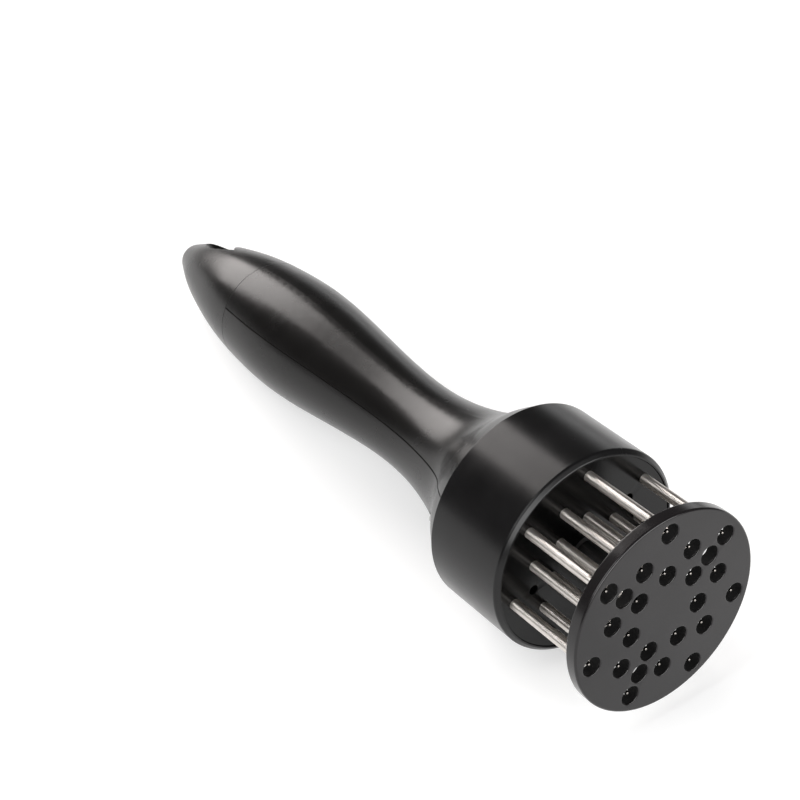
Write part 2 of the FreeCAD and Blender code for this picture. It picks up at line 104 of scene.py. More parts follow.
# %% Node helpers
def put(tree, kind, settings=(), inputs=()):
    """Add a node to a tree, with its settings made and its inputs wired or written."""
    node = tree.nodes.new(kind)
    for name, value in dict(settings).items():
        setattr(node, name, value)
    for key, value in dict(inputs).items():
        if isinstance(value, bpy.types.Node):
            value = value.outputs[0]
        if isinstance(value, bpy.types.NodeSocket):
            tree.links.new(value, node.inputs[key])
        else:
            node.inputs[key].default_value = value
    return node


def calc(tree, operation, a, b=0.0):
    """One sum, such as ADD or MULTIPLY."""
    return put(tree, "ShaderNodeMath", dict(operation=operation), {0: a, 1: b})


def ease(tree, value, start, end, low, high):
    """Carry a value from start..end over to low..high, with soft ends."""
    return put(tree, "ShaderNodeMapRange", dict(interpolation_type="SMOOTHSTEP"), {
        "Value": value, "From Min": start, "From Max": end, "To Min": low, "To Max": high})


# %% [markdown]
# ## Floor, world and lamps
# Black plastic has almost no colour of its own. What the eye sees is the studio reflected in it, so the
# studio is part of the finish. This one has a white table with a painted pool of light: its colour and glow
# fall off to grey half a metre away. The walls are dim.
#
# A big soft lamp stands behind the handle and draws the bright bands along it. A tall narrow one stands to
# the left of the head, and a wide one in front draws the arc on the head's rim. A pale card, low at the
# back on the right, is part of the world itself, because a lamp there would draw its own hard edge on the
# table.
#
# The floor shows white because it glows faintly for rays that look straight at it, or that see it in
# something shiny. Rays that only carry light around don't see the glow, so it adds no light to the tool and
# the tool's shadow stays.

# %% Floor
floor_colour = (0.59, 0.59, 0.59)
floor_glow = 0.5
floor_radius = 8.0
floor_drop = 0.0002           # metres below the tool, so that the two surfaces never share a place
white_reach = (0.24, 0.6)     # in metres: white up to the first, grey beyond the second
grey_share = 0.36             # of the white

floor_white = bpy.data.materials.new("floor_white")
floor_white.use_nodes = True
tree = floor_white.node_tree
shader = tree.nodes["Principled BSDF"]
shader.inputs["Roughness"].default_value = 0.9
shader.inputs["Emission Color"].default_value = (1, 1, 1, 1)
rays = put(tree, "ShaderNodeLightPath").outputs
looks_on = calc(tree, "MAXIMUM", rays["Is Camera Ray"], rays["Is Glossy Ray"])
looks_on = calc(tree, "MAXIMUM", looks_on, rays["Is Transmission Ray"])
away = put(tree, "ShaderNodeVectorMath", dict(operation="LENGTH"),
           {0: put(tree, "ShaderNodeTexCoord").outputs["Object"]}).outputs["Value"]
# A painted pool of light: the floor's colour and glow are white near the tool and fade to grey beyond.
painted_light_pool = ease(tree, away, *white_reach, 1.0, grey_share)
glow = calc(tree, "MULTIPLY", calc(tree, "MULTIPLY", looks_on, floor_glow), painted_light_pool)
tint = put(tree, "ShaderNodeVectorMath", dict(operation="SCALE"), {0: floor_colour, "Scale": painted_light_pool})
tree.links.new(tint.outputs[0], shader.inputs["Base Color"])
tree.links.new(glow.outputs[0], shader.inputs["Emission Strength"])

bpy.ops.mesh.primitive_circle_add(
    vertices=128, radius=floor_radius, fill_type="NGON", location=(0, 0, -floor_drop))
floor = bpy.context.object
floor.name = "floor"
floor.data.materials.append(floor_white)
print("the floor is a disc", 2 * floor_radius, "m across")

# %% World
wall_light = 0.07
horizon_light = 0.24
horizon_top = 0.15            # heights in the world are sines: 0 is level, 1 straight up
card_light = 1.1
card_azimuth = 120
card_edges = (0.88, 0.97)     # its soft edge, as cosines of the angle from its middle
card_fade = (0.12, 0.3)       # its soft top

world = bpy.data.worlds.new("studio")
bpy.context.scene.world = world
world.use_nodes = True
tree = world.node_tree
outwards = put(tree, "ShaderNodeTexCoord").outputs["Generated"]
height = put(tree, "ShaderNodeSeparateXYZ", (), {0: outwards})
fade = ease(tree, height.outputs["Z"], 0.0, horizon_top, horizon_light, wall_light)
card_turn = math.radians(card_azimuth)
towards_card = put(tree, "ShaderNodeVectorMath", dict(operation="DOT_PRODUCT"), {
    0: outwards, 1: (math.cos(card_turn), math.sin(card_turn), 0)})
in_card = ease(tree, towards_card.outputs["Value"], *card_edges, 0.0, card_light)
under_top = ease(tree, height.outputs["Z"], *card_fade, 1.0, 0.0)
strength = calc(tree, "ADD", fade, calc(tree, "MULTIPLY", in_card, under_top))
tree.links.new(strength.outputs[0], tree.nodes["Background"].inputs["Strength"])
tree.nodes["Background"].inputs["Color"].default_value = (1, 1, 1, 1)
print("brightness, where white is 1: walls", wall_light, "and card", card_light)

# %% Lamps
lamp_distance = 1.4
aim_height = 0.03             # the lamps face a spot this far above the table, in metres


def softbox(name, azimuth, elevation, width, height, brightness, tint=(1, 1, 1)):
    """A flat lamp that faces the tool from a direction and is `brightness` times as bright as white."""
    around, rise = math.radians(azimuth), math.radians(elevation)
    level = math.cos(rise)
    direction = Vector((math.cos(around) * level, math.sin(around) * level, math.sin(rise)))
    data = bpy.data.lights.new(name, "AREA")
    data.shape = "RECTANGLE"
    data.size = width
    data.size_y = height
    data.color = tint
    data.energy = brightness * math.pi * width * height
    lamp = bpy.data.objects.new(name, data)
    bpy.context.collection.objects.link(lamp)
    lamp.location = direction * lamp_distance + Vector((0, 0, aim_height))
    lamp.rotation_euler = direction.to_track_quat("Z", "Y").to_euler()
    lamp.visible_camera = False
    return lamp


lamps = [softbox("lamp_behind_handle", 180, 28, 0.85, 0.98, 7.0, (1, 0.955, 0.935)),
         softbox("lamp_left_of_head", -95, 44, 0.4, 1.1, 7.0),
         softbox("lamp_in_front", -2, 24, 2.3, 0.7, 6.0)]
print("lamps and their watts:", {lamp.name: round(lamp.data.energy, 1) for lamp in lamps})

# %% [markdown]
# ## Finishes
# The pieces are of a few stuffs: moulded black plastic, polished or plated steel, a slippery acetal bush
# and rubber. None of them is one flat colour. Moulded plastic has a very slight orange peel, a gloss that
# wanders, and fine rubbed marks. Ground steel has hair-thin lines that run round or along it.
#
# All patterns read the Object coordinates, which a Mapping node turns into the tool's own millimetres. A
# grain of 0.2 is then 0.2 mm on every piece, and a pattern can run along the needles or round the head.

# %% Helpers for finishes
def finish(name, colour, roughness, metal=0.0):
    """A new material with its tree, its shader, and the place on the tool in millimetres."""
    material = bpy.data.materials.new(name)
    material.use_nodes = True
    tree = material.node_tree
    shader = tree.nodes["Principled BSDF"]
    shader.inputs["Base Color"].default_value = (*colour, 1)
    shader.inputs["Roughness"].default_value = roughness
    shader.inputs["Metallic"].default_value = metal
    move, turn, size = lay.inverted().decompose()
    place = put(tree, "ShaderNodeMapping", (), {
        "Vector": put(tree, "ShaderNodeTexCoord").outputs["Object"],
        "Location": move, "Rotation": turn.to_euler(), "Scale": size})
    return material, tree, shader, place


def grain(tree, place, size, stretch=(1, 1, 1), detail=3.0):
    """Noise with grains of a size in mm, drawn out by a factor along each axis of the tool."""
    squeezed = put(tree, "ShaderNodeVectorMath", dict(operation="MULTIPLY"),
                   {0: place, 1: [1 / (size * s) for s in stretch]})
    return put(tree, "ShaderNodeTexNoise", (), {"Vector": squeezed, "Scale": 1.0, "Detail": detail})


def between(tree, value, low, high, start=0.3, end=0.7):
    """Carry a value from start..end over to low..high."""
    return put(tree, "ShaderNodeMapRange", (), {"Value": value, "From Min": start, "From Max": end,
                                                "To Min": low, "To Max": high})


def blend_colours(tree, share, first, second):
    """From the first colour to the second."""
    mix = put(tree, "ShaderNodeMix", dict(data_type="RGBA"), {0: share, 6: first, 7: second})
    return mix.outputs[2]


def so_far(shader, name):
    """What is wired into one of the shader's inputs by now."""
    return shader.inputs[name].links[0].from_socket


def relief(tree, shader, heights):
    """Raise the surface by (height from 0 to 1, depth in mm) pairs, one bump on another."""
    normal = None
    for height, depth in heights:
        bump = put(tree, "ShaderNodeBump", (), {"Height": height, "Distance": depth / 1000})
        if normal:
            tree.links.new(normal, bump.inputs["Normal"])
        normal = bump.outputs[0]
    tree.links.new(normal, shader.inputs["Normal"])


# %% [markdown]
# ### Moulded black plastic
# The disc, the head and the handle are black ABS from polished moulds. Three things break up the gloss: an
# orange peel a few thousandths of a millimetre deep, patches where the gloss is a little higher or lower,
# and fine scratches from use. A scratch is the narrow band where a stretched noise passes its middle value,
# so a "near the middle" test draws thin winding lines for free.
#
# The walls of the disc's holes were never polished: no tool gets in there. They are left matt, and painted
# darker as shade inside the holes.

# %% Plastic
patch_size, fine_size, cloud_size = 6.0, 0.35, 14.0      # grains, in mm, of gloss, surface and colour


def scratches(tree, place, size, stretch, width=0.012):
    """Thin winding lines: 1 on a scratch, 0 beside it."""
    wander = grain(tree, place, size, stretch, detail=1.0)
    off_middle = calc(tree, "ABSOLUTE", calc(tree, "SUBTRACT", wander, 0.5))
    line = between(tree, off_middle, 1.0, 0.0, 0.0, width)
    patches = between(tree, grain(tree, place, 9.0, detail=1.0), 0.0, 1.0, 0.5, 0.62)
    return calc(tree, "MULTIPLY", line, patches)


def plastic(name, colour, gloss, peel, rubbed, shine):
    """Moulded plastic: gloss is (lowest, highest) roughness, peel the (size, depth) of the surface's waves,
    rubbed how rough the scratches are, and shine how strongly the surface mirrors."""
    material, tree, shader, place = finish(name, colour, gloss[0])
    shader.inputs["Specular IOR Level"].default_value = shine
    patches = grain(tree, place, patch_size, detail=4.0)
    fine = grain(tree, place, fine_size, detail=2.0)
    marks = calc(tree, "MAXIMUM", scratches(tree, place, 1.2, (1, 6, 9)),
                 scratches(tree, place, 1.5, (5, 1, 12)))
    rough = between(tree, patches, *gloss)
    rough = calc(tree, "ADD", rough, calc(tree, "MULTIPLY", marks, rubbed))
    tree.links.new(rough.outputs[0], shader.inputs["Roughness"])
    dull = [*(1.45 * c + 0.0008 for c in colour), 1]
    cloud = between(tree, grain(tree, place, cloud_size, detail=5.0), 0.0, 1.0)
    tree.links.new(blend_colours(tree, cloud, [*colour, 1], dull), shader.inputs["Base Color"])
    waves = grain(tree, place, peel[0], detail=1.0)
    relief(tree, shader, [(waves, peel[1]), (fine, 0.0009), (marks, -0.0004)])
    return material, tree, shader, place


def matt_holes_with_painted_shade(tree, shader, place, thickness, radius, duller=0.75, wall=(0.001, 0.001, 0.001, 1)):
    """Leave the walls of a disc's holes matt, and darken them with painted shade: they lie between its faces
    and inside its edge.
    """
    station = put(tree, "ShaderNodeSeparateXYZ", (), {0: place}).outputs["Z"]
    across = put(tree, "ShaderNodeVectorMath", dict(operation="MULTIPLY"), {0: place, 1: (1, 1, 0)})
    across = put(tree, "ShaderNodeVectorMath", dict(operation="LENGTH"), {0: across}).outputs["Value"]
    behind_front = between(tree, station, 0.0, 1.0, 0.25, 0.6)
    before_back = between(tree, station, 1.0, 0.0, thickness - 0.3, thickness - 0.05)
    inside_edge = between(tree, across, 1.0, 0.0, radius, radius + 0.2)
    deep = calc(tree, "MULTIPLY", calc(tree, "MULTIPLY", behind_front, before_back), inside_edge)
    rough = calc(tree, "ADD", so_far(shader, "Roughness"), calc(tree, "MULTIPLY", deep, duller))
    tree.links.new(rough.outputs[0], shader.inputs["Roughness"])
    # The wall colour is painted shade: it darkens the hole walls where little light gets in.
    tree.links.new(blend_colours(tree, deep, so_far(shader, "Base Color"), wall), shader.inputs["Base Color"])


disc_black, *parts = plastic("disc_black", (0.0075, 0.0066, 0.0069), (0.16, 0.22), (2.2, 0.005), 0.04, 0.38)
matt_holes_with_painted_shade(*parts, thickness=3.0, radius=23.2)
head_black = plastic("head_black", (0.0045, 0.0043, 0.0045), (0.22, 0.27), (1.6, 0.003), 0.015, 0.29)[0]
plate_black = plastic("plate_black", (0.0012, 0.0012, 0.0012), (0.15, 0.20), (3.5, 0.004), 0.03, 0.23)[0]

# %% [markdown]
# ### Dirt in the handle's joints
# The two half shells and the end cap meet in fine grooves, and a used tool has a little grease and dust in
# them. In a clean groove the walls glint like a bright wire. In a real one they are dull and dark, so
# within a fifth of a millimetre of each joint the gloss is taken away.

# %% Handle plastic with dull joints
seam_angle = 29.1          # of the upper shell's middle, about the tool's axis
seam_width = 0.34
cap_station = 150.4        # where the end cap starts
cap_joint = (0.8, 0.4)     # the cap's joint is narrower and cleaner than the seam: shares of width and dirt
seam_up = Vector((math.cos(math.radians(seam_angle)), math.sin(math.radians(seam_angle)), 0))
seam_along = Vector((0, 0, 1)).cross(seam_up)


def near(tree, distance, width):
    """1 within about half a width of a place, 0 beyond, with a soft edge."""
    return between(tree, calc(tree, "ABSOLUTE", distance), 1.0, 0.0, 0.42 * width, 0.62 * width)


def dull_joints(tree, shader, place, with_seam):
    """Take the gloss and the colour away in the grooves."""
    station = put(tree, "ShaderNodeSeparateXYZ", (), {0: place}).outputs["Z"]
    joint = near(tree, calc(tree, "SUBTRACT", station, cap_station), cap_joint[0] * seam_width)
    joint = calc(tree, "MULTIPLY", joint, cap_joint[1])
    if with_seam:
        rise = put(tree, "ShaderNodeVectorMath", dict(operation="DOT_PRODUCT"), {0: place, 1: seam_up})
        joint = calc(tree, "MAXIMUM", joint, near(tree, rise.outputs["Value"], seam_width))
    rough = calc(tree, "MAXIMUM", so_far(shader, "Roughness"), joint)
    tree.links.new(rough.outputs[0], shader.inputs["Roughness"])
    dirt = (0.004, 0.0035, 0.003, 1)
    dirty = blend_colours(tree, joint, so_far(shader, "Base Color"), dirt)
    tree.links.new(dirty, shader.inputs["Base Color"])


handle_look = ((0.0042, 0.0038, 0.0036), (0.24, 0.28), (2.8, 0.004), 0.012, 0.29)
handle_black, *parts = plastic("handle_black", *handle_look)
dull_joints(*parts, with_seam=True)
cap_black, *parts = plastic("cap_black", *handle_look)
dull_joints(*parts, with_seam=False)
print("plastics:", [m.name for m in (disc_black, head_black, plate_black, handle_black, cap_black)])

# %% [markdown]
# ### Steel
# A needle is ground while it spins, so hair-thin lines run round it. Such lines spread a reflection across
# them, along the needle, and a lamp shows as a long white stripe down to the needle's foot. No bump can be
# fine enough for that, but a shader has a setting for it: anisotropic roughness, with a tangent that says
# which way the lines run. The tangent comes from the needle's own UV map, where U goes round. The points
# are polished after grinding, so they are made smoother here. Their colour is also darkened with painted
# shade, since they stand in the shade of the disc's holes.
#
# The spring, washers and screws are rolled, plated or turned, and they have a cloudier surface.

# %% Steel
def steel(name, colour, gloss, lines, stretch, mottle):
    """Bare or plated metal: lines is (width, depth) of its tool marks, stretch the way they run, and mottle
    how much darker its colour gets in places."""
    material, tree, shader, place = finish(name, colour, gloss[0], metal=1.0)
    marks = grain(tree, place, lines[0], stretch, detail=2.0)
    cloud = grain(tree, place, 2.5, detail=4.0)
    both = calc(tree, "ADD", calc(tree, "MULTIPLY", marks, 0.5), calc(tree, "MULTIPLY", cloud, 0.5))
    tree.links.new(between(tree, both, *gloss, 0.35, 0.65).outputs[0], shader.inputs["Roughness"])
    dark = [*((1 - mottle) * c for c in colour), 1]
    mottled = blend_colours(tree, between(tree, cloud, 0.0, 1.0), dark, [*colour, 1])
    tree.links.new(mottled, shader.inputs["Base Color"])
    relief(tree, shader, [(marks, lines[1])])
    return material


def ground(material, spread):
    """Spread a turned piece's reflections across its grinding lines, which run round it."""
    tree = material.node_tree
    shader = tree.nodes["Principled BSDF"]
    lines = put(tree, "ShaderNodeTangent", dict(direction_type="UV_MAP", uv_map="round and along"))
    tree.links.new(lines.outputs[0], shader.inputs["Tangent"])
    shader.inputs["Anisotropic"].default_value = spread
    shader.inputs["Anisotropic Rotation"].default_value = 0.25


def polish_and_shade_tips(material, start, end, smoother=0.3, painted_tip_shade=(0.30, 0.28, 0.26, 1)):
    """Make the needles smooth at their points, and darker there with painted shade, from one station to
    another.
    """
    tree = material.node_tree
    shader = tree.nodes["Principled BSDF"]
    place = next(node for node in tree.nodes if node.bl_idname == "ShaderNodeMapping")
    station = put(tree, "ShaderNodeSeparateXYZ", (), {0: place}).outputs["Z"]
    rough = calc(tree, "MULTIPLY", so_far(shader, "Roughness"),
                 between(tree, station, smoother, 1.0, start, end))
    tree.links.new(rough.outputs[0], shader.inputs["Roughness"])
    # Towards the points the steel's colour is darkened: painted shade of the disc's holes.
    tip = between(tree, station, 1.0, 0.0, start, 0.5 * (start + end))
    tree.links.new(blend_colours(tree, tip, so_far(shader, "Base Color"), painted_tip_shade),
                   shader.inputs["Base Color"])


round_about = (12, 12, 1)      # the marks of a cutting tool, drawn out round the axis
needle_steel = steel("needle_steel", (0.72, 0.68, 0.64), (0.34, 0.46), (0.12, 0.0008), (8, 8, 1), 0.15)
ground(needle_steel, 0.85)
polish_and_shade_tips(needle_steel, 1.5, 6.5)
spring_steel = steel("spring_steel", (0.46, 0.45, 0.44), (0.20, 0.36), (0.08, 0.0010), (6, 6, 1), 0.25)
washer_steel = steel("washer_steel", (0.60, 0.60, 0.59), (0.22, 0.38), (0.10, 0.0015), round_about, 0.18)
fastener_steel = steel("fastener_steel", (0.57, 0.57, 0.555), (0.20, 0.34), (0.08, 0.0012), round_about, 0.2)
print("metals:", [m.name for m in (needle_steel, spring_steel, washer_steel, fastener_steel)])

# %% [markdown]
# ### Blackened steel, acetal and rubber
# The stem is steel with a thin black oxide coat, which shines like dark metal and rubs through a little
# where it slides. The bush is acetal, a waxy plastic that is never quite black. Rubber is matt, with a grey
# bloom.

# %% Small parts' finishes
stem_black, tree, shader, place = finish("stem_black", (0.045, 0.043, 0.042), 0.35, metal=0.6)
rubbed = between(tree, grain(tree, place, 0.12, (1, 1, 60)), 0.0, 1.0, 0.58, 0.72)
tree.links.new(between(tree, rubbed, 0.38, 0.22, 0.0, 1.0).outputs[0], shader.inputs["Roughness"])
coat, bare = (0.035, 0.034, 0.034, 1), (0.16, 0.155, 0.15, 1)
tree.links.new(blend_colours(tree, rubbed, coat, bare), shader.inputs["Base Color"])
relief(tree, shader, [(grain(tree, place, 0.15), 0.002)])

bush_acetal, tree, shader, place = finish("bush_acetal", (0.035, 0.034, 0.033), 0.4)
shader.inputs["Subsurface Weight"].default_value = 0.05
shader.inputs["Subsurface Scale"].default_value = 0.001
wax = grain(tree, place, 1.4, detail=4.0)
tree.links.new(between(tree, wax, 0.32, 0.48).outputs[0], shader.inputs["Roughness"])
tree.links.new(blend_colours(tree, wax, (0.028, 0.027, 0.027, 1), (0.045, 0.044, 0.043, 1)),
               shader.inputs["Base Color"])
relief(tree, shader, [(grain(tree, place, 0.3), 0.003)])

seal_rubber, tree, shader, place = finish("seal_rubber", (0.02, 0.02, 0.02), 0.65)
bloom = between(tree, grain(tree, place, 0.9, detail=6.0), 0.0, 1.0)
tree.links.new(blend_colours(tree, bloom, (0.014, 0.014, 0.014, 1), (0.035, 0.034, 0.033, 1)),
               shader.inputs["Base Color"])
tree.links.new(between(tree, bloom, 0.55, 0.8, 0.0, 1.0).outputs[0], shader.inputs["Roughness"])
relief(tree, shader, [(grain(tree, place, 0.12), 0.006)])
print("small parts:", [m.name for m in (stem_black, bush_acetal, seal_rubber)])

# %% [markdown]
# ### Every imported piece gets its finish
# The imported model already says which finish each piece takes, by the name of its plain material. Pieces
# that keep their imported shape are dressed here, and the pieces made further down take theirs from the same
# list.

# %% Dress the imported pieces
finishes = {
    "disc_black": disc_black, "plate_black": plate_black, "head_black": head_black,
    "handle_black": handle_black, "cap_black": cap_black, "stem_black": stem_black,
    "needle_steel": needle_steel, "spring_steel": spring_steel, "washer_steel": washer_steel,
    "fastener_steel": fastener_steel, "bush_acetal": bush_acetal, "seal_rubber": seal_rubber}
for node in nodes.values():
    slot = next(name for name in finishes if node.data.materials[0].name.startswith(name))
    node.data.materials.clear()
    node.data.materials.append(finishes[slot])
print(len(nodes), "packed pieces in", len(finishes), "finishes")

# %% [markdown]
# ## Turning a piece with Geometry Nodes
# A lathe turns a piece from an outline, and a small group of nodes can do the same. The group takes a line
# in the x-z plane, where x is the radius and z the station. It lays out a grid with one row for each point
# of the line, rolls the grid into a ring, and closes the seam and the poles by merging what falls together.
#
# Walking along the line, the solid is on the left. An outer wall is then drawn from low to high stations,
# and the wall of a hole from high to low, and every face points outwards without any repair.

# %% A lathe as a node group
def group_in_out(name, inputs, outputs=(("Geometry", "NodeSocketGeometry"),)):
    """An empty Geometry Nodes tree with named inputs, and its two end nodes' sockets."""
    tree = bpy.data.node_groups.new(name, "GeometryNodeTree")
    for label, kind in inputs:
        tree.interface.new_socket(label, in_out="INPUT", socket_type=kind)
    for label, kind in outputs:
        tree.interface.new_socket(label, in_out="OUTPUT", socket_type=kind)
    return tree, tree.nodes.new("NodeGroupInput").outputs, tree.nodes.new("NodeGroupOutput").inputs


merge_reach = 0.0005       # in mm: points of a turned piece that are closer than this become one

lathe, given, made = group_in_out("lathe", [
    ("Outline", "NodeSocketGeometry"), ("Steps Round", "NodeSocketInt")])
points = put(lathe, "GeometryNodeCurveToPoints", dict(mode="EVALUATED"), {"Curve": given["Outline"]})
size = put(lathe, "GeometryNodeAttributeDomainSize", dict(component="POINTCLOUD"), {"Geometry": points})
rows = size.outputs["Point Count"]
sheet = put(lathe, "GeometryNodeMeshGrid", (), {
    "Size X": 1.0, "Size Y": 1.0, "Vertices X": calc(lathe, "ADD", given["Steps Round"], 1),
    "Vertices Y": rows})
mapped = put(lathe, "GeometryNodeStoreNamedAttribute", dict(data_type="FLOAT2", domain="CORNER"), {
    "Geometry": sheet, "Name": "round and along", "Value": sheet.outputs["UV Map"]})
spot = put(lathe, "ShaderNodeSeparateXYZ", (), {0: put(lathe, "GeometryNodeInputPosition")}).outputs
angle = calc(lathe, "MULTIPLY", calc(lathe, "ADD", spot["X"], 0.5), 2 * math.pi)
row = calc(lathe, "MULTIPLY", calc(lathe, "ADD", spot["Y"], 0.5), calc(lathe, "SUBTRACT", rows, 1))
corner = put(lathe, "GeometryNodeSampleIndex", dict(data_type="FLOAT_VECTOR", domain="POINT"), {
    "Geometry": points, "Value": put(lathe, "GeometryNodeInputPosition"),
    "Index": calc(lathe, "ADD", row, 0.5)})
corner = put(lathe, "ShaderNodeSeparateXYZ", (), {0: corner}).outputs
rolled = put(lathe, "ShaderNodeCombineXYZ", (), {
    "X": calc(lathe, "MULTIPLY", corner["X"], calc(lathe, "COSINE", angle)),
    "Y": calc(lathe, "MULTIPLY", corner["X"], calc(lathe, "SINE", angle)), "Z": corner["Z"]})
turned = put(lathe, "GeometryNodeSetPosition", (), {"Geometry": mapped, "Position": rolled})
closed = put(lathe, "GeometryNodeMergeByDistance", (), {"Geometry": turned, "Distance": merge_reach})
lathe.links.new(closed.outputs[0], made[0])


def turn(tree, corners, steps_round, steps_in_round=6):
    """Nodes that turn a solid from corners (radius, station, rounding), each a number or a socket."""
    line = put(tree, "GeometryNodeMeshLine", (), {"Count": len(corners)})
    which = put(tree, "GeometryNodeInputIndex")
    place = put(tree, "GeometryNodeIndexSwitch", dict(data_type="VECTOR"), {"Index": which})
    bend = put(tree, "GeometryNodeIndexSwitch", dict(data_type="FLOAT"), {"Index": which})
    for i, (radius, station, rounding) in enumerate(corners):
        if i > 1:
            place.index_switch_items.new()
            bend.index_switch_items.new()
        spot = put(tree, "ShaderNodeCombineXYZ", (), {"X": radius, "Z": station})
        tree.links.new(spot.outputs[0], place.inputs[i + 1])
        if isinstance(rounding, (int, float)):
            bend.inputs[i + 1].default_value = rounding
        else:
            tree.links.new(rounding, bend.inputs[i + 1])
    line = put(tree, "GeometryNodeSetPosition", (), {"Geometry": line, "Position": place})
    line = put(tree, "GeometryNodeMeshToCurve", (), {0: line})
    line = put(tree, "GeometryNodeFilletCurve", dict(mode="POLY"), {
        "Curve": line, "Count": steps_in_round, "Radius": bend, "Limit Radius": True})
    return put(tree, "GeometryNodeGroup", dict(node_tree=lathe), {
        "Outline": line, "Steps Round": steps_round})


print("the lathe has", len(lathe.nodes), "nodes")


# %% [markdown]
# ## From a tree to a finished piece
# A tree starts from a mesh that holds only spots, the places of what repeats. Its result becomes a plain
# mesh, because the frame wants finished pieces with their place in the mesh. Weighted normals then let the
# large flat faces set the shading, so a small rounding reads as a rounding and not as a smudge.

# %% Run a tree and keep the result
def settle(piece):
    """Turn what the modifiers make into the piece's own plain mesh."""
    evaluated = piece.evaluated_get(bpy.context.evaluated_depsgraph_get())
    mesh = bpy.data.meshes.new_from_object(evaluated)
    piece.modifiers.clear()
    piece.data = mesh
    mesh.name = piece.name


def report(piece):
    """Print a piece's size and whether its surface is closed and faces outwards."""
    mesh = bmesh.new()
    mesh.from_mesh(piece.data)
    loose = sum(not edge.is_manifold for edge in mesh.edges)
    volume = mesh.calc_volume(signed=True) * 1e9
    print(f"{piece.name}: {len(mesh.faces)} faces, {loose} open edges, {volume:.1f} mm3")
    mesh.free()


def grow(name, tree, spots, sizes, body, slot, *stands_for, place=lay, crease=40):
    """Make a piece with a tree, lay it down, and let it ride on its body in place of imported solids."""
    seed = bpy.data.meshes.new(name)
    seed.from_pydata(spots, [], [])
    piece = bpy.data.objects.new(name, seed)
    bpy.context.collection.objects.link(piece)
    modifier = piece.modifiers.new("shape", "NODES")
    modifier.node_group = tree
    wanted = {**sizes, "Finish": finishes[slot]}
    for item in tree.interface.items_tree:
        if item.in_out == "INPUT" and item.name in wanted:
            modifier[item.identifier] = wanted[item.name]
    settle(piece)
    piece.data.transform(place)
    piece.data.shade_smooth()
    piece.data.set_sharp_from_angle(angle=math.radians(crease))
    piece.modifiers.new("shading", "WEIGHTED_NORMAL").keep_sharp = True
    settle(piece)
    report(piece)
    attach(piece, body)
    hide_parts(*stands_for)
    return piece


def size_inputs(*labels):
    """Sockets for the spots, the named sizes and the finish."""
    return [("Spots", "NodeSocketGeometry"), *((label, "NodeSocketFloat") for label in labels),
            ("Finish", "NodeSocketMaterial")]


def copies(tree, spots, piece):
    """A copy of a piece at every spot."""
    return put(tree, "GeometryNodeInstanceOnPoints", (), {"Points": spots, "Instance": piece})


def end_tree(tree, given, made, mesh):
    """Real geometry with the finish on it is the last thing in every tree."""
    real = put(tree, "GeometryNodeRealizeInstances", (), {0: mesh})
    dressed = put(tree, "GeometryNodeSetMaterial", (), {"Geometry": real, "Material": given["Finish"]})
    tree.links.new(dressed.outputs[0], made[0])


# %% [markdown]
# ## The pattern of the needles
# The needles stand on three circles of seven places each, an even seventh of a turn apart. The middle
# circle is turned half a step, which puts its needles in the gaps of the others. Between them, the disc has
# three more holes for a long driver. They are spaced like the base screws, and lie over them when the disc
# is put on three places round.

# %% Rings of spots
needles_round = 7
pattern_turn = 2.3            # degrees
step = 360 / needles_round
inner_circle, middle_circle, outer_circle = 9.25, 14.5, 19.75


def ring(radius, start, places=range(needles_round)):
    """Spots on a circle about the axis, at some of its places."""
    angles = [math.radians(start + step * place) for place in places]
    return [(radius * math.cos(a), radius * math.sin(a), 0) for a in angles]


needle_spots = [*ring(inner_circle, pattern_turn), *ring(middle_circle, pattern_turn + step / 2),
                *ring(outer_circle, pattern_turn)]
driver_spots = ring(middle_circle, pattern_turn, (1, 4, 6))
screw_spots = ring(middle_circle, pattern_turn, (1, 3, 5))
print(len(needle_spots), "needles,", len(needle_spots) + len(driver_spots), "holes in the disc")

# %% [markdown]
# ## Needles
# Each needle is a ground pin with a cone of 5 mm at its tip and a flat head that the backing plate holds
# down. One pin is turned and then copied to every spot, which keeps the tree small. The shoulder between
# cone and shank gets a long soft rounding, as a grinding wheel leaves it, so highlights slide over it
# without a break.

# %% Needle bed
cone_length, needle_head_height, needle_head_overhang = 5.0, 1.0, 0.5
needle_steps = 28

tree, given, made = group_in_out("needle bed", size_inputs("Needle Radius", "Tip Station", "Head Station"))
radius, tip, head = given["Needle Radius"], given["Tip Station"], given["Head Station"]
shoulder = calc(tree, "ADD", tip, cone_length)
head_back = calc(tree, "ADD", head, needle_head_height)
head_radius = calc(tree, "ADD", radius, needle_head_overhang)
pin = turn(tree, [(0, tip, 0), (0.3, tip, 0.25), (radius, shoulder, 3.0), (radius, head, 0.03),
                  (head_radius, head, 0.06), (head_radius, head_back, 0.15), (0, head_back, 0)], needle_steps)
end_tree(tree, given, made, copies(tree, given["Spots"], pin))
grow("needle_bed", tree, needle_spots, {"Needle Radius": 1.2, "Tip Station": 0.8, "Head Station": 29.8},
     "handle_body", "needle_steel", *(f"needle_{i:02d}" for i in range(1, 22)))

# %% [markdown]
# ## Guard disc
# The disc is the face that touches the meat: 3 mm thick, with a hole for every needle and three for the
# driver. Cutting 24 holes with booleans and then bevelling their edges often tears the mesh. Here the disc
# is put together from clean pieces instead: a turned wall for each hole with both its edges rounded, a
# turned rim, and two flat faces that are filled between the circles. All of them have the same points on
# their shared circles, so merging welds them into one closed skin.
#
# At the back, a boss holds the stem in a blind socket.

# %% Pierced disc
hole_steps, rim_steps, centre_steps = 40, 240, 96
weld_reach = 0.002            # in mm


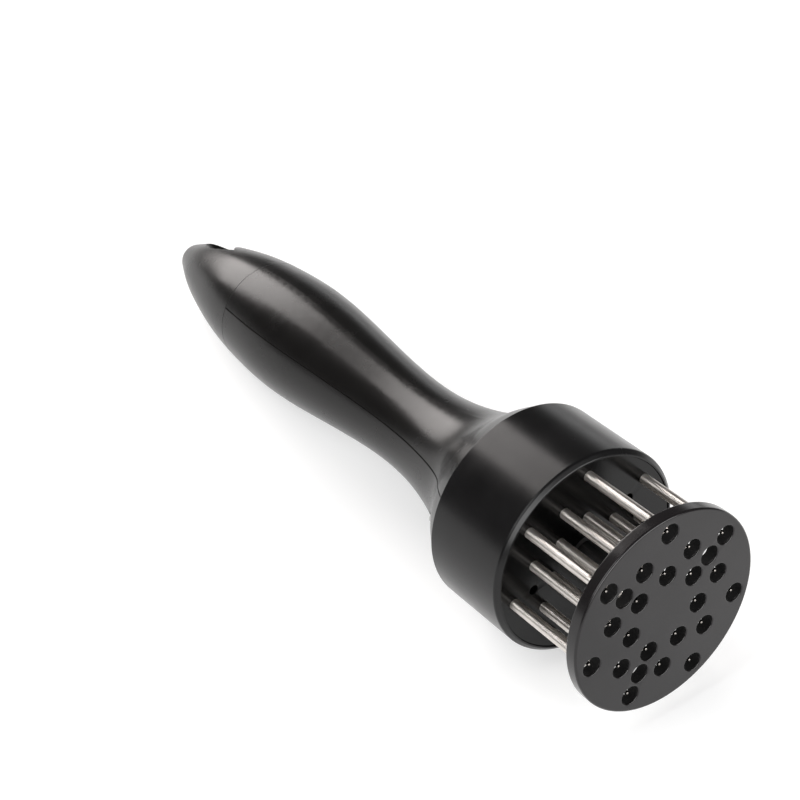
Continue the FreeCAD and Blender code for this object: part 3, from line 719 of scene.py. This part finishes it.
def flat_face(tree, outer, inner_rings, station, upwards):
    """A flat face between circles: (radius, steps) outside, (radius, steps, spots or None) inside."""
    rings = [put(tree, "GeometryNodeCurvePrimitiveCircle", (), {"Resolution": outer[1], "Radius": outer[0]})]
    for radius, steps, spots in inner_rings:
        circle = put(tree, "GeometryNodeCurvePrimitiveCircle", (), {"Resolution": steps, "Radius": radius})
        if spots is not None:
            circle = put(tree, "GeometryNodeRealizeInstances", (), {0: copies(tree, spots, circle)})
        rings.append(circle)
    joined = put(tree, "GeometryNodeJoinGeometry")
    for circle in rings:
        tree.links.new(circle.outputs[0], joined.inputs[0])
    face = put(tree, "GeometryNodeFillCurve", dict(mode="TRIANGLES"), {0: joined})
    if not upwards:
        face = put(tree, "GeometryNodeFlipFaces", (), {0: face})
    lift = put(tree, "ShaderNodeCombineXYZ", (), {"Z": station})
    return put(tree, "GeometryNodeTransform", (), {"Geometry": face, "Translation": lift})


def weld(tree, given, made, parts):
    """Join the parts of a skin, merge their shared circles and end the tree."""
    skin = put(tree, "GeometryNodeJoinGeometry")
    for part in parts:
        tree.links.new(part.outputs[0], skin.inputs[0])
    skin = put(tree, "GeometryNodeRealizeInstances", (), {0: skin})
    skin = put(tree, "GeometryNodeMergeByDistance", (), {"Geometry": skin, "Distance": weld_reach})
    end_tree(tree, given, made, skin)


tree, given, made = group_in_out("pierced disc", size_inputs(
    "Disc Radius", "Thickness", "Front Round", "Rear Round", "Hole Radius", "Hole Round",
    "Boss Radius", "Boss Height", "Boss Root", "Socket Radius", "Socket Floor"))
outer, thick, hole, soft = (given[s] for s in ("Disc Radius", "Thickness", "Hole Radius", "Hole Round"))
front_round, rear_round = given["Front Round"], given["Rear Round"]
boss, root, boss_end = (given[s] for s in ("Boss Radius", "Boss Root", "Boss Height"))
socket, floor_at = (given[s] for s in ("Socket Radius", "Socket Floor"))
hole_mouth, boss_foot = calc(tree, "ADD", hole, soft), calc(tree, "ADD", boss, root)
front_edge = calc(tree, "SUBTRACT", outer, front_round)
rear_edge = calc(tree, "SUBTRACT", outer, rear_round)
rim = turn(tree, [(front_edge, 0, 0), (outer, 0, front_round), (outer, thick, rear_round),
                  (rear_edge, thick, 0)], rim_steps, 8)
hole_wall = turn(tree, [(hole_mouth, thick, 0), (hole, thick, soft), (hole, 0, soft), (hole_mouth, 0, 0)],
                 hole_steps, 5)
walls = copies(tree, given["Spots"], hole_wall)
stem_boss = turn(tree, [(boss_foot, thick, 0), (boss, thick, root), (boss, boss_end, 0.3),
                        (socket, boss_end, 0.1), (socket, floor_at, 0.1), (0, floor_at, 0)], centre_steps)
mouths = (hole_mouth, hole_steps, given["Spots"])
front = flat_face(tree, (front_edge, rim_steps), [mouths], 0, False)
rear = flat_face(tree, (rear_edge, rim_steps), [mouths, (boss_foot, centre_steps, None)], thick, True)
weld(tree, given, made, (rim, walls, stem_boss, front, rear))
disc_sizes = {"Disc Radius": 23.75, "Thickness": 3.0, "Front Round": 0.5, "Rear Round": 0.4,
              "Hole Radius": 2.2, "Hole Round": 0.32, "Boss Radius": 4.5, "Boss Height": 6.0,
              "Boss Root": 0.5, "Socket Radius": 2.52, "Socket Floor": 1.4}
grow("pierced_disc", tree, [*needle_spots, *driver_spots], disc_sizes, "guard", "disc_black", "guard_disc")

# %% [markdown]
# ## Head
# The head is a thin cup around the needle plate. Its front edge slopes back and is rounded, so it catches
# the front lamp as one long arc. Inside, a web closes the cup, with a bore for the bush and holes for the
# base screws. At the back, the cup's wall turns inwards to meet the handle.
#
# The cup is made like the disc: one turned skin for everything round, flat faces with holes for the web's
# two sides, and a merge that welds them. The spots of this tree are the three base screws.

# %% Head cup
lip_rounds = (0.6, 0.75)                 # at the slope's front and at its back
back_wall_width, back_wall_depth = 4.05, 2.4

tree, given, made = group_in_out("head cup", size_inputs(
    "Cup Radius", "Bore", "Front", "Back", "Lip Slope", "Lip Height", "Web Front", "Web Back", "Bush Bore",
    "Screw Bore"))
cup, bore, mouth, back = (given[s] for s in ("Cup Radius", "Bore", "Front", "Back"))
web_near, web_far, bush, screw = (given[s] for s in ("Web Front", "Web Back", "Bush Bore", "Screw Bore"))
middle = calc(tree, "SUBTRACT", back, back_wall_depth)
neck = calc(tree, "SUBTRACT", cup, back_wall_width)
lip = calc(tree, "SUBTRACT", cup, given["Lip Slope"])
lip_end = calc(tree, "ADD", mouth, given["Lip Height"])
skin_of_cup = turn(tree, [
    (bore, web_near, 0), (bore, mouth, 0.1), (lip, mouth, lip_rounds[0]), (cup, lip_end, lip_rounds[1]),
    (cup, back, 0.4), (neck, back, 0.2), (neck, middle, 0.1), (bore, middle, 0.1), (bore, web_far, 0)],
    rim_steps, 8)
bush_wall = turn(tree, [(bush, web_far, 0), (bush, web_near, 0)], centre_steps)
screw_wall = turn(tree, [(screw, web_far, 0), (screw, web_near, 0)], hole_steps)
screw_walls = copies(tree, given["Spots"], screw_wall)
holes = [(screw, hole_steps, given["Spots"]), (bush, centre_steps, None)]
near_face = flat_face(tree, (bore, rim_steps), holes, web_near, False)
far_face = flat_face(tree, (bore, rim_steps), holes, web_far, True)
weld(tree, given, made, (skin_of_cup, bush_wall, screw_walls, near_face, far_face))
grow("turned_head", tree, screw_spots, {
    "Cup Radius": 24.25, "Bore": 22.9, "Front": 24.5, "Back": 47.3, "Lip Slope": 1.0, "Lip Height": 0.9,
    "Web Front": 32.0, "Web Back": 35.0, "Bush Bore": 4.2, "Screw Bore": 1.3},
    "handle_body", "head_black", "head_cup")

# %% [markdown]
# ## Needle plate
# The plate holds the needles upright. Each needle has a hole that widens at the back into a pocket for its
# head, and three pilot holes take the base screws. A groove round the edge holds a seal.
#
# The tree's spots are the needles. The three pilot holes are few and fixed, so their places are written
# into the tree as single points.

# %% Needle plate
soft, pilot_soft, edge = 0.05, 0.15, 0.1     # roundings of the needle holes, the pilot holes and the rest
pilot_depth, pilot_widening = 2.0, 0.2       # a pilot hole is narrow for 2 mm and wider behind

tree, given, made = group_in_out("needle plate", size_inputs(
    "Plate Radius", "Front", "Back", "Needle Bore", "Pocket Bore", "Pocket Floor", "Pilot Bore",
    "Centre Bore", "Groove Radius", "Groove Front", "Groove Back"))
plate, face_at, back, needle = (given[s] for s in ("Plate Radius", "Front", "Back", "Needle Bore"))
pocket, pocket_floor = given["Pocket Bore"], given["Pocket Floor"]
pilot, centre = given["Pilot Bore"], given["Centre Bore"]
groove, groove_front, groove_back = (given[s] for s in ("Groove Radius", "Groove Front", "Groove Back"))
needle_mouth, pilot_mouth = calc(tree, "ADD", needle, soft), calc(tree, "ADD", pilot, pilot_soft)
centre_mouth, flat_edge = calc(tree, "ADD", centre, edge), calc(tree, "SUBTRACT", plate, edge)
pilot_floor = calc(tree, "ADD", face_at, pilot_depth)
pilot_wide = calc(tree, "ADD", pilot, pilot_widening)
pilots = put(tree, "GeometryNodeJoinGeometry")
for spot in screw_spots:
    tree.links.new(put(tree, "GeometryNodePoints", (), {"Position": spot}).outputs[0], pilots.inputs[0])
rim = turn(tree, [
    (flat_edge, face_at, 0), (plate, face_at, edge), (plate, groove_front, 0), (groove, groove_front, 0),
    (groove, groove_back, 0), (plate, groove_back, 0), (plate, back, edge), (flat_edge, back, 0)],
    rim_steps, 5)
needle_wall = turn(tree, [(pocket, back, 0), (pocket, pocket_floor, 0), (needle, pocket_floor, 0),
                          (needle, face_at, soft), (needle_mouth, face_at, 0)], needle_steps, 3)
pilot_wall = turn(tree, [(pilot_wide, back, 0), (pilot_wide, pilot_floor, 0), (pilot, pilot_floor, 0),
                         (pilot, face_at, pilot_soft), (pilot_mouth, face_at, 0)], hole_steps, 5)
centre_wall = turn(tree, [(centre, back, 0), (centre, face_at, edge), (centre_mouth, face_at, 0)],
                   centre_steps, 4)
needle_walls = copies(tree, given["Spots"], needle_wall)
pilot_walls = copies(tree, pilots, pilot_wall)
front = flat_face(tree, (flat_edge, rim_steps), [
    (needle_mouth, needle_steps, given["Spots"]), (pilot_mouth, hole_steps, pilots),
    (centre_mouth, centre_steps, None)], face_at, False)
rear = flat_face(tree, (flat_edge, rim_steps), [
    (pocket, needle_steps, given["Spots"]), (pilot_wide, hole_steps, pilots),
    (centre, centre_steps, None)], back, True)
weld(tree, given, made, (rim, needle_walls, pilot_walls, centre_wall, front, rear))
grow("pierced_plate", tree, needle_spots, {
    "Plate Radius": 22.87, "Front": 24.8, "Back": 30.8, "Needle Bore": 1.22, "Pocket Bore": 1.72,
    "Pocket Floor": 29.78, "Pilot Bore": 1.1, "Centre Bore": 4.2, "Groove Radius": 21.7,
    "Groove Front": 27.1, "Groove Back": 28.5}, "handle_body", "plate_black", "needle_plate")

# %% [markdown]
# ## Spring
# The spring pushes the disc out again. Its wire follows a helix, the simplest rule of all: as the line
# climbs, it turns about the axis at an even rate. A straight line is cut into many short steps, each step
# is turned to its place, and a small circle is swept along the result.
#
# When the disc is pushed in, the coils close up towards the washer that the spring stands on, to the length
# it has left at the end of the stroke.

# %% Spring
wire_radius, coil_radius, coil_turns = 0.5, 5.0, 8
coil_steps, wire_steps = 48, 16          # of one turn of the coil, and round the wire
spring_front, spring_back = 40.52, 72.48

tree, given, made = group_in_out("spring", size_inputs(
    "Wire Radius", "Coil Radius", "Turns", "Front", "Back"))
line = put(tree, "GeometryNodeCurvePrimitiveLine", (), {"End": (0, 0, 1)})
line = put(tree, "GeometryNodeResampleCurve", (), {"Curve": line, "Count": coil_steps * coil_turns + 1})
share = put(tree, "GeometryNodeSplineParameter").outputs["Factor"]
angle = calc(tree, "MULTIPLY", calc(tree, "MULTIPLY", share, given["Turns"]), 2 * math.pi)
climb = calc(tree, "MULTIPLY", share, calc(tree, "SUBTRACT", given["Back"], given["Front"]))
coil = put(tree, "ShaderNodeCombineXYZ", (), {
    "X": calc(tree, "MULTIPLY", given["Coil Radius"], calc(tree, "COSINE", angle)),
    "Y": calc(tree, "MULTIPLY", given["Coil Radius"], calc(tree, "SINE", angle)),
    "Z": calc(tree, "ADD", climb, given["Front"])})
line = put(tree, "GeometryNodeSetPosition", (), {"Geometry": line, "Position": coil})
section = put(tree, "GeometryNodeCurvePrimitiveCircle", (), {
    "Resolution": wire_steps, "Radius": given["Wire Radius"]})
wire = put(tree, "GeometryNodeCurveToMesh", (), {
    "Curve": line, "Profile Curve": section, "Fill Caps": True})
end_tree(tree, given, made, wire)
spring = grow("spring_coil", tree, [(0, 0, 0)], {
    "Wire Radius": wire_radius, "Coil Radius": coil_radius, "Turns": float(coil_turns),
    "Front": spring_front, "Back": spring_back}, "handle_body", "spring_steel", "plunger_spring")
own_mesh(spring)

# %% [markdown]
# ## Screws
# Two sets of screws hold the tool together: three long base screws clamp the needle plate, and four screws
# from below close the handle's shells. Both have a round head with a crossed slot and a cut point, so one
# tree makes both sets from different sizes. The screw is turned, and two crossed bars are cut out of its
# head.

# %% Screw tree
point_length = 1.2
slot_width, slot_depth, slot_share = 0.8, 0.9, 1.1     # slot_share: a bar's length as a share of head radius

tree, given, made = group_in_out("crossed screw", size_inputs(
    "Shank Radius", "Length", "Tip Radius", "Head Radius", "Head Height", "Turn"))
shank, length, wide, high = (given[s] for s in ("Shank Radius", "Length", "Head Radius", "Head Height"))
blunt = calc(tree, "SUBTRACT", point_length, length)
tip = calc(tree, "SUBTRACT", 0.0, length)
body = turn(tree, [(0, tip, 0), (given["Tip Radius"], tip, 0.05), (shank, blunt, 0.3), (shank, 0, 0.1),
                   (wide, 0, 0.1), (wide, high, 0.5), (0, high, 0)], hole_steps)
cut = put(tree, "GeometryNodeMeshBoolean", dict(operation="DIFFERENCE", solver="EXACT"), {0: body})
for bar in (0, 90):
    box = put(tree, "GeometryNodeMeshCube", (), {"Size": put(tree, "ShaderNodeCombineXYZ", (), {
        "X": calc(tree, "MULTIPLY", wide, slot_share), "Y": slot_width, "Z": 2 * slot_depth})})
    box = put(tree, "GeometryNodeTransform", (), {
        "Geometry": box, "Translation": put(tree, "ShaderNodeCombineXYZ", (), {"Z": high}),
        "Rotation": (0, 0, math.radians(bar))})
    tree.links.new(box.outputs[0], cut.inputs[1])
facing = put(tree, "ShaderNodeCombineXYZ", (), {"Z": calc(tree, "RADIANS", given["Turn"])})
screws = put(tree, "GeometryNodeInstanceOnPoints", (), {
    "Points": given["Spots"], "Instance": cut, "Rotation": facing})
end_tree(tree, given, made, screws)
screw_tree = tree

# %% [markdown]
# The base screws stand upright in the tool's own axes, with their heads to the back. The handle's screws
# look at the seam instead: their axis is square to it, and they go in from the lower shell. A second matrix
# turns the drawing axes so that up is towards the heads.

# %% Two sets of screws
web_back = 35.0
base_tip = 27.1
seat_depth, screw_reach = 8.5, 7.5       # under the seam to the head's seat, and above the seam to the point
handle_screw_spots = [(-11.5, 56.3), (11.5, 56.3), (0, 107.9), (0, 133.9)]   # (offset, station)

grow("base_screw_set", screw_tree, [Vector(spot) + Vector((0, 0, web_back)) for spot in screw_spots],
     {"Shank Radius": 1.25, "Length": web_back - base_tip, "Tip Radius": 0.625, "Head Radius": 2.5,
      "Head Height": 1.8, "Turn": 0.0}, "handle_body", "fastener_steel", "base_screws")

down = -seam_up
forwards = Vector((0, 0, -1))
across = Matrix((forwards.cross(down), forwards, down)).transposed()
spots = [across.inverted() @ (seam_along * offset + Vector((0, 0, station)) + down * seat_depth)
         for offset, station in handle_screw_spots]
grow("handle_screw_set", screw_tree, spots,
     {"Shank Radius": 1.4, "Length": seat_depth + screw_reach, "Tip Radius": 0.56, "Head Radius": 2.8,
      "Head Height": 2.2, "Turn": 20.0}, "handle_body", "fastener_steel", "handle_screws",
     place=lay @ across.to_4x4())
